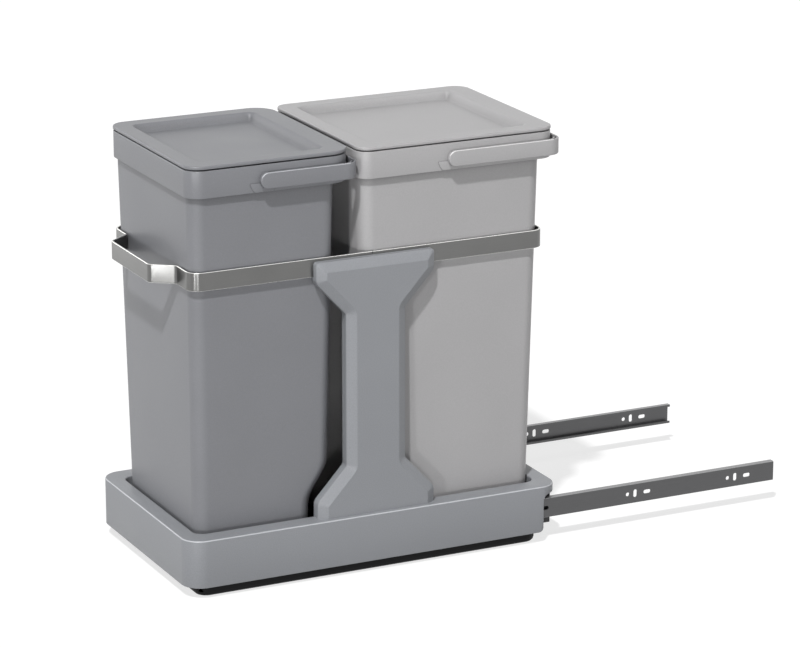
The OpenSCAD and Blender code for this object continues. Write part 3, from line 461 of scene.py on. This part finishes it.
rightPillar = pillar()
makePiece("right_pillar_moulding", rightPillar, grainedAbs, "tray", ["right_pillar"], 50)
makePiece("left_pillar_moulding", [mirrored(p) for p in rightPillar], grainedAbs, "tray", ["left_pillar"],
          50)


# Steel hoop, in two halves that meet behind the pillars' heads

hoopForm = {"thick": 2, "corner": 14, "pullHalf": 52, "pullRun": 18, "pullDeep": 24, "bend": 5, "edge": 0.9,
            "joint": 0.35, "edgeTilt": 0.3}
hoopLow, hoopHigh = boxMm("front_hoop")
hoopFront = hoopLow[1] + hoopForm["pullDeep"]


# Strip's upright section carried along two lines seen from above: the front half with the pull bent out of it,
# and the rear half; each stops short of the joint
def hoopHalves():
    f = hoopForm
    x, meet, rear = hoopHigh[0], hoopHigh[1], boxMm("rear_hoop")[1][1]
    foot, big = f["pullHalf"] + f["pullRun"], f["bend"] + f["thick"]
    front = roundedLine([(-x, meet - f["joint"]), (-x, hoopFront), (-foot, hoopFront),
                         (-f["pullHalf"], hoopLow[1]), (f["pullHalf"], hoopLow[1]), (foot, hoopFront),
                         (x, hoopFront), (x, meet - f["joint"])],
                        [0, f["corner"], f["bend"], big, big, f["bend"], f["corner"], 0], 12)
    back = roundedLine([(x, meet + f["joint"]), (x, rear), (-x, rear), (-x, meet + f["joint"])],
                       [0, f["corner"], f["corner"], 0], 14)
    loop = sectionLoop(0, f["thick"], hoopLow[2], hoopHigh[2], f["edge"], 4)
    return sweep(front, loop), sweep(back, loop)


frontStrip, rearStrip = hoopHalves()
# Faces of the strip's upper and lower edges, which get a lighter steel as a painted highlight
stripEdge = lambda middle, normal: np.abs(normal[:, 2]) > hoopForm["edgeTilt"]
makePiece("front_hoop_strip", [frontStrip], brushedStainless, "tray", ["front_hoop"], 50,
          stripEdgeHighlight, stripEdge)
makePiece("rear_hoop_strip", [rearStrip], brushedStainless, "tray", ["rear_hoop"], 50,
          stripEdgeHighlight, stripEdge)


# Bins and lids

binForm = {"collarWall": 2, "wall": 2, "drop": 29, "bodyRadius": 15, "footRadius": 12, "footPinch": 0.7,
           "sideIn": 4.4, "frontIn": 3.3, "sideDraft": math.tan(math.radians(1.65)),
           "endDraft": math.tan(math.radians(0.78)), "pivotForward": 2, "pivotLow": 1.5, "lipRound": 0.5,
           "mouthEdge": 0.9, "neckRound": 1, "hollowRound": 0.8, "aboveFoot": 8, "lowStep": 60,
           "highStep": 180, "belowCollar": 2}
padForm = {"radius": 15.5, "forward": 7.5, "below": 1, "foot": 0.3, "head": 3,
           "rows": ((0, -1), (0, 0.4), (0.1, 0.65), (0.4, 0.8))}  # inset and height above the collar
studForm = {"radius": 4, "points": 32,
            "rows": ((0, -1), (0, 3.6), (0.1, 4.0), (0.5, 4.2))}  # inset and height above the collar
lidForm = {"gap": 1.6, "rim": 17, "rearRim": 23.5, "slope": 10, "recess": 8, "panelRadius": 9, "skin": 2.2,
           "plug": 12, "plugGap": 0.6, "plugEdge": 0.5, "seat": 0.3, "edge": 1.2, "inset": -0.4, "throat": 5,
           "flatStep": 1.5, "rimStep": 1.2, "edgeStep": 0.8, "underShare": 0.4,
           "underEdge": ((0, 0.5), (0.1, 0.15), (0.5, 0))}  # inwards, and up from the underside
frontBin = {"node": "front_bin", "collarRadius": 17.5, "rearRound": 7.5, "rearIn": 17, "recess": 21,
            "recessLow": 75, "recessHigh": 125}
rearBin = {"node": "rear_bin", "collarRadius": 14.5, "rearRound": 3, "rearIn": 14, "recess": 0,
           "recessLow": 75, "recessHigh": 125}
evenRuns = ((1 / 3, 2 / 3),) * 4
for one in (frontBin, rearBin):
    one["low"], one["high"] = boxMm(one["node"])
    one["collarX"] = boxMm(one["node"].replace("bin", "lid"))[1][0] + lidForm["inset"]
    one["collarZ"] = one["high"][2] - binForm["drop"]
    one["pivotY"] = (one["low"][1] + one["high"][1]) / 2 - binForm["pivotForward"]
    one["pivotZ"] = one["collarZ"] + binForm["drop"] / 2 - binForm["pivotLow"]


# Plan of a bin's body at height z, inset by d: its sides and ends lean in as they go down, and the hand recess
# pushes the rear wall in by an eased step
def bodyRings(one, z, d, radiusLoss):
    f = binForm
    z, d, radiusLoss = np.broadcast_arrays(*[np.asarray(v, float) for v in (z, d, radiusLoss)])
    fall = np.maximum(one["collarZ"] - z, 0)
    t = np.clip((one["recessHigh"] - z) / (one["recessHigh"] - one["recessLow"]), 0, 1)
    push = one["recess"] * t * t * (3 - 2 * t)
    halfX = one["collarX"] - f["sideIn"] - fall * f["sideDraft"] - d
    y0 = one["low"][1] + f["frontIn"] + fall * f["endDraft"] + d
    y1 = one["high"][1] - one["rearIn"] - fall * f["endDraft"] - push - d
    return plateRings(halfX, y0, y1, f["bodyRadius"] - radiusLoss, z, along=evenRuns)


# Plan of a bin's collar at height z, inset by d
def collarRings(one, d, z):
    d, z = np.broadcast_arrays(np.asarray(d, float), np.asarray(z, float))
    return plateRings(one["collarX"] - d, one["low"][1] + d, one["high"][1] - d,
                      np.maximum(one["collarRadius"] - d, 3), z, along=evenRuns, rearMore=one["rearRound"])


# The same rings, each row laid level at its own height
def withZ(rings, z):
    out = rings.copy()
    out[:, :, 2] = np.broadcast_to(np.asarray(z, float)[:, None], rings.shape[:2])
    return out


# Bin: one profile from the middle of its floor out round the foot, up the drafted wall, over into the collar
# and down it, round its edge, up to the mouth and down inside to the floor again
def binShell(one):
    f = binForm
    bottom, top, collarZ, wall = one["low"][2], one["high"][2], one["collarZ"], f["wall"]
    a = turns(0, 90, 8)
    big, small = f["footRadius"], f["footRadius"] - wall
    outD = big * (1 - np.sin(a))
    inD = (small * (1 - np.sin(a)) + wall)[::-1]
    heights = np.concatenate([[bottom + big + f["aboveFoot"], f["lowStep"]],
                              np.linspace(one["recessLow"], one["recessHigh"], 14),
                              np.linspace(f["highStep"], collarZ - f["belowCollar"], 5)])
    foot = withZ(bodyRings(one, bottom + 0 * outD, outD, outD * f["footPinch"]), bottom + big * (1 - np.cos(a)))
    outside = bodyRings(one, heights, 0, 0)
    under = top - f["collarWall"]
    n, h = f["neckRound"], f["hollowRound"]
    neck = withZ(bodyRings(one, collarZ, [0, 0, -0.3 * n, -n], 0), [collarZ, under - n, under - 0.3 * n, under])
    cw, e, r = f["collarWall"], f["mouthEdge"], f["lipRound"]
    c = turns(0, 90, 4)
    collar = [collarRings(one, [cw + h, cw + h / 4, cw], [under, under - h / 4, under - h]),
              collarRings(one, cw - r + r * np.cos(c), collarZ + r - r * np.sin(c)),
              collarRings(one, r - r * np.sin(c), collarZ + r - r * np.cos(c)),
              collarRings(one, e - e * np.cos(c), top - e + e * np.sin(c))]
    mouth = withZ(bodyRings(one, collarZ, wall - r + r * np.sin(c), wall), top - r + r * np.cos(c))
    inside = bodyRings(one, heights[::-1], wall, wall)
    floor = withZ(bodyRings(one, bottom + 0 * inD, inD, inD * f["footPinch"]),
                  bottom + wall + small * (1 - np.cos(a[::-1])))
    return skin(np.concatenate([foot, outside, neck] + collar + [mouth, inside, floor]))


# Pad beside a pivot stud: the slice of a disc between the collar's lower edge and the stud, raised on the
# collar
def pivotPad(one):
    f = padForm
    x, y, z = one["collarX"], one["pivotY"] - f["forward"], one["pivotZ"] - f["below"]

    def outline(inset):
        r = f["radius"] - inset
        low, high = one["collarZ"] + f["foot"] + inset, one["pivotZ"] - f["head"] - inset
        a = np.arcsin((np.linspace(low, high, 11) - z) / r)
        right = np.stack([y + r * np.cos(a), z + r * np.sin(a)], 1)
        left = np.stack([y - r * np.cos(a), z + r * np.sin(a)], 1)[::-1]
        return np.concatenate([right, left])

    place = lambda yz, out: np.concatenate([np.full((len(yz), 1), x + out), yz], 1)
    return plate(outline, f["rows"], place)


# Stud: circles about the pivot's axis, with a softened end
def pivotStud(one):
    f = studForm
    a = np.linspace(0, 2 * np.pi, f["points"] + 1)[:-1]
    rings = [np.stack([np.full(len(a), one["collarX"] + out), one["pivotY"] + (f["radius"] - inset) * np.sin(a),
                       one["pivotZ"] - (f["radius"] - inset) * np.cos(a)], 1) for inset, out in f["rows"]]
    return skin(np.stack(rings))


# Lid: from the middle of the sunk panel up an S shaped slope to the rim, round the edge, in under it, down the
# plug and back up inside at the thickness of the skin
def lidShell(one):
    f = lidForm
    top = one["high"][2]
    z0, seat = top + f["gap"], top + f["seat"]
    z1 = boxMm(one["node"].replace("bin", "lid"))[1][2]
    more = f["rearRim"] - f["rim"]
    under, e = f["underShare"] * f["skin"], f["edge"]
    panel = lambda d, z: plateRings(one["collarX"] - d, one["low"][1] + d, one["high"][1] - d - more,
                                    np.maximum(f["panelRadius"] + f["rim"] - d, 3), z, along=evenRuns)
    plain = {**one, "recess": 0}
    wall = binForm["wall"]
    mouth = lambda d, z: withZ(bodyRings(plain, one["collarZ"] + 0 * z, wall + d, wall + d), z)
    t = np.linspace(1, 0, 11)
    s = t * t * (3 - 2 * t)
    a = turns(90, 0, 6)
    inwards, rise = np.array(f["underEdge"] + ((f["throat"] - f["inset"], 0),)).T
    parts = [panel(np.array([f["rim"] + f["slope"] + f["flatStep"]]), np.array([z1 - f["recess"]])),
             panel(f["rim"] + f["slope"] * t, z1 - f["recess"] * s),
             panel(np.array([f["rim"] - f["rimStep"]]), np.array([z1])),
             collarRings(one, f["inset"] + e + f["edgeStep"], z1),
             collarRings(one, f["inset"] + e * (1 - np.cos(a)), z1 - e + e * np.sin(a)),
             collarRings(one, f["inset"] + inwards, z0 + rise),
             collarRings(one, np.array([f["throat"]]), np.array([seat])),
             mouth(f["plugGap"], np.array([seat, top - f["plug"] + f["plugEdge"]])),
             mouth(f["plugGap"] + f["plugEdge"], np.array([top - f["plug"]])),
             mouth(f["plugGap"] + f["skin"], np.array([top - f["plug"], z1 - f["skin"]])),
             panel(f["rim"] - under + f["slope"] * t[::-1], z1 - f["skin"] - f["recess"] * s[::-1])]
    return skin(np.concatenate(parts))


# Shell, and on each side a pad and a stud
def binParts(one):
    pad, stud = pivotPad(one), pivotStud(one)
    return [binShell(one), pad, mirrored(pad), stud, mirrored(stud)]


makePiece("front_bin_shell", binParts(frontBin), binPolypropylene, "front_bin_body", ["front_bin"])
makePiece("rear_bin_shell", binParts(rearBin), paleBinPolypropylene, "rear_bin_body", ["rear_bin"])
makePiece("front_lid_shell", [lidShell(frontBin)], binPolypropylene, "front_lid_body", ["front_lid"])
makePiece("rear_lid_shell", [lidShell(rearBin)], paleBinPolypropylene, "rear_lid_body", ["rear_lid"])


# Bail handles

bailForm = {"wall": 2.4, "inner": 1.7, "depth": 5.7, "corner": 16, "edge": 1.1, "innerHeight": 16.4,
            "innerEdge": 0.5, "innerEnd": 5, "webHeight": 5, "webEdge": 0.3, "webSink": 0.5, "armEnd": 0.7,
            "highlightTilt": (0.3, 0.95), "steps": 30, "endSteps": 9, "plainEnd": 0.5, "endClear": 1.05,
            "bossPoints": 48,
            "bossRows": ((3.6, 0.3), (0.6, 0.3), (0.2, 0.5), (0, 0.9))}  # out from the inner face, and inset


# Strap bent along a path: its outline along the path has round ends about the pivots, or plain square ones, and
# each row of the outline is at its own inset and its own depth in from the path
def bentStrap(path, half, rows, endRound):
    f = bailForm
    length = np.concatenate([[0], np.cumsum(np.linalg.norm(np.diff(path, axis=0), axis=1))])
    side = sideways(path)
    s, clear = np.linspace(0, 1, f["endSteps"]), half * f["endClear"]

    def ring(inset, depth):
        end = (half - inset) * (1 - np.cos(s * np.pi / 2)) if endRound else s * f["plainEnd"]
        rise = (half - inset) * np.sin(s * np.pi / 2) if endRound else np.full(len(s), half - inset)
        inner = length[(length > clear) & (length < length[-1] - clear)]
        at = np.concatenate([inset + end, inner, (length[-1] - inset - end)[::-1]])
        high = np.concatenate([rise, np.full(len(inner), half - inset), rise[::-1]])
        x, y = np.interp(at, length, path[:, 0]), np.interp(at, length, path[:, 1])
        sx, sy = np.interp(at, length, side[:, 0]), np.interp(at, length, side[:, 1])
        lower = np.stack([x + sx * depth, y + sy * depth, -high], 1)
        upper = np.stack([x + sx * depth, y + sy * depth, high], 1)[::-1]
        return np.concatenate([lower, upper])

    return np.stack([ring(inset, depth) for inset, depth in rows])


# Rows of a wall between two depths whose long edges are rounded
def wallRows(near, far, r, steps=4):
    a = turns(0, 90, steps)
    return ([(r * (1 - np.sin(t)), near + r * (1 - np.cos(t))) for t in a] +
            [(r * (1 - np.sin(t)), far - r * (1 - np.cos(t))) for t in a[::-1]])


# Bail: the strap, and inside its arms a web, an inner wall, and a round boss about the end of each arm
def bail(node):
    f = bailForm
    low, high = boxMm(node)
    x, start, end = high[0], low[1], high[1]
    half, z = (high[2] - low[2]) / 2, (high[2] + low[2]) / 2
    line = roundedLine([(x, start), (x, end), (-x, end), (-x, start)], [0, f["corner"], f["corner"], 0], 16)
    straight = np.linspace(0, 1, f["steps"])[1:-1, None]
    path = np.concatenate([line[:1], line[0] * (1 - straight) + line[1] * straight, line[1:-1],
                           line[-2] * (1 - straight) + line[-1] * straight, line[-1:]])
    strap = skin(bentStrap(path, half, wallRows(0, f["wall"], f["edge"]), True) + (0, 0, z))
    parts = [strap]
    arm = roundedLine([(x, start + half - f["innerEnd"]), (x, end), (-x, end)], [0, f["corner"], 0], 16)
    arm = arm[arm[:, 0] > x - f["armEnd"] * f["corner"]]
    arm = np.concatenate([arm[:1], arm[0] * (1 - straight) + arm[1] * straight, arm[1:]])
    innerRows = wallRows(f["depth"] - f["inner"], f["depth"], f["innerEdge"])
    webRows = wallRows(f["wall"] - f["webSink"], f["depth"] - f["webSink"], f["webEdge"])
    inner = bentStrap(arm, f["innerHeight"] / 2, innerRows, False)
    web = bentStrap(arm, f["webHeight"] / 2, webRows, False)
    a = np.linspace(0, 2 * np.pi, f["bossPoints"] + 1)[:-1]
    boss = np.stack([np.stack([np.full(len(a), x - f["depth"] + out), start + half + (half - inset) * np.sin(a),
                               (half - inset) * np.cos(a)], 1) for out, inset in f["bossRows"]])
    for wall in (inner, web, boss):
        parts += [skin(wall + (0, 0, z)), mirrored(skin(wall + (0, 0, z)))]
    return parts


# Faces of the arms' upper outer edges that get the painted highlight: tilted upwards, and within one edge's
# width of the bail's outer sides
def bailHighlightFaces(middle, normal):
    least, most = bailForm["highlightTilt"]
    outside = boxMm("front_bail")[1][0] - bailForm["edge"]
    return (normal[:, 2] > least) & (normal[:, 2] < most) & (np.abs(middle[:, 0]) > outside)


makePiece("front_bail_strap", bail("front_bail"), binPolypropylene, "front_bail_body", ["front_bail"],
          50, highlightedPolypropylene, bailHighlightFaces)
makePiece("rear_bail_strap", bail("rear_bail"), paleBinPolypropylene, "rear_bail_body", ["rear_bail"],
          50, highlightedPalePolypropylene, bailHighlightFaces)


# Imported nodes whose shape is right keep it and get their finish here

finishes = {
    "right_cabinet_rail": zincRail, "left_cabinet_rail": zincRail, "right_drawer_rail": zincRail,
    "left_drawer_rail": zincRail, "right_ball_cage": blackAcetal, "left_ball_cage": blackAcetal,
    "right_balls": bearingSteel, "left_balls": bearingSteel, "right_side_plate": blackCoat,
    "left_side_plate": blackCoat, "front_crossbar": blackCoat, "rear_crossbar": blackCoat,
    "base_pan": blackPolypropylene, "rail_screws": zincScrew, "pillar_screws": zincScrew,
    "hoop_screws": zincScrew}
for node, material in finishes.items():
    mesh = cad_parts[node].data
    mesh.materials.clear()
    mesh.materials.append(material)
print("finishes set")


# Floor, light and camera

# Level at which a face square to the lamp gets that share of its own colour, the lamp's azimuth (from the front
# towards the right) and elevation in degrees, and its width in degrees
lampForms = {"key": {"level": 0.88, "fromWhere": (50, 57), "soft": 2.5},
             "corner": {"level": 0.23, "fromWhere": (38.5, 1), "soft": 5},
             "camera side": {"level": 0.2, "fromWhere": (65, 1), "soft": 8},
             "front": {"level": 0.04, "fromWhere": (-15, 12), "soft": 30},
             "top rear": {"level": 0.07, "fromWhere": (150, 55), "soft": 25},
             "left": {"level": 0.15, "fromWhere": (300, 12), "soft": 30}}
skyForm = {"horizon": 0.4, "high": 0.05, "highAt": 0.6}
floorForm = {"half": 12.0, "bounce": 0.45, "glow": 0.74, "shaded": 0.34}
cameraForm = {"azimuth": 63.976, "elevation": 16.471, "distance": 4.02043, "target": (0, 0.0870026, 0.2307462),
              "lens": 165.79, "sensor": 36, "farEnd": 50}


# Grey of a linear value, opaque
def grey(value):
    return value, value, value, 1


# The background is white for what the camera and the gloss see; everything else gets a plain grey sky
def seenDirectly(tree):
    path = addNode(tree, "ShaderNodeLightPath", {}, {})
    first = addNode(tree, "ShaderNodeMath", {"operation": "MAXIMUM"}, {0: path.outputs["Is Camera Ray"],
                                                                       1: path.outputs["Is Glossy Ray"]})
    both = addNode(tree, "ShaderNodeMath", {"operation": "MAXIMUM"}, {0: first.outputs[0],
                                                                      1: path.outputs["Is Transmission Ray"]})
    return both.outputs[0]


# Sky seen by rough surfaces: it falls evenly from the horizon's level to the level high up
def setWorld():
    world = bpy.data.worlds.new("pale studio")
    bpy.context.scene.world = world
    world.use_nodes = True
    tree = world.node_tree
    tree.nodes.clear()
    way = addNode(tree, "ShaderNodeTexCoord", {}, {}).outputs["Generated"]
    up = addNode(tree, "ShaderNodeSeparateXYZ", {}, {"Vector": way}).outputs["Z"]
    fade = addNode(tree, "ShaderNodeMapRange", {}, {"Value": up, "From Min": 0.0, "From Max": skyForm["highAt"],
                                                    "To Min": skyForm["horizon"], "To Max": skyForm["high"]})
    sky = addNode(tree, "ShaderNodeBackground", {}, {"Color": grey(1), "Strength": fade.outputs[0]})
    white = addNode(tree, "ShaderNodeBackground", {}, {"Color": grey(1), "Strength": 1.0})
    mixed = addNode(tree, "ShaderNodeMixShader", {}, {0: seenDirectly(tree), 1: sky.outputs[0],
                                                      2: white.outputs[0]})
    addNode(tree, "ShaderNodeOutputWorld", {}, {"Surface": mixed.outputs[0]})


# Floor: pale board that the camera sees as white where it is lit and grey where the object shades it
def setFloor():
    f = floorForm
    material, tree = newMaterial("pale floor")
    plain = addNode(tree, "ShaderNodeBsdfDiffuse", {}, {"Color": grey(f["bounce"])})
    glow = addNode(tree, "ShaderNodeEmission", {}, {"Color": grey(1), "Strength": f["glow"]})
    shaded = addNode(tree, "ShaderNodeBsdfDiffuse", {}, {"Color": grey(f["shaded"])})
    bright = addNode(tree, "ShaderNodeAddShader", {}, {0: glow.outputs[0], 1: shaded.outputs[0]})
    mixed = addNode(tree, "ShaderNodeMixShader", {}, {0: seenDirectly(tree), 1: plain.outputs[0],
                                                      2: bright.outputs[0]})
    finishMaterial(tree, mixed)
    mesh = bpy.data.meshes.new("floor")
    corners = np.array([(-1, -1, 0), (1, -1, 0), (1, 1, 0), (-1, 1, 0)]) * f["half"]
    mesh.from_pydata(corners.tolist(), [], [(0, 1, 2, 3)])
    mesh.materials.append(material)
    floor = bpy.data.objects.new("floor", mesh)
    bpy.context.scene.collection.objects.link(floor)


# Way towards an azimuth and an elevation: sine and minus cosine of the azimuth, both times the cosine of the
# elevation, and the sine of the elevation
def wayTowards(azimuth, elevation):
    azimuth, elevation = math.radians(azimuth), math.radians(elevation)
    return Vector((math.sin(azimuth) * math.cos(elevation), -math.cos(azimuth) * math.cos(elevation),
                   math.sin(elevation)))


# Sun that shines from an azimuth and an elevation
def addSun(name, level, fromWhere, soft):
    lamp = bpy.data.lights.new(name, "SUN")
    lamp.energy = level * math.pi
    lamp.angle = math.radians(soft)
    sun = bpy.data.objects.new(name, lamp)
    sun.rotation_euler = wayTowards(*fromWhere).to_track_quat("Z", "Y").to_euler()
    bpy.context.scene.collection.objects.link(sun)


# Camera at its distance from the target, looking back at it
def setCamera():
    f = cameraForm
    back = wayTowards(f["azimuth"], f["elevation"])
    data = bpy.data.cameras.new("camera")
    data.lens = f["lens"]
    data.sensor_width = f["sensor"]
    data.clip_end = f["farEnd"]
    camera = bpy.data.objects.new("camera", data)
    camera.location = Vector(f["target"]) + back * f["distance"]
    camera.rotation_euler = back.to_track_quat("Z", "Y").to_euler()
    bpy.context.scene.collection.objects.link(camera)
    bpy.context.scene.camera = camera


setWorld()
setFloor()
for name, form in lampForms.items():
    addSun(name + " light", **form)
setCamera()
bpy.context.scene.view_settings.view_transform = "Standard"
print("stage set")
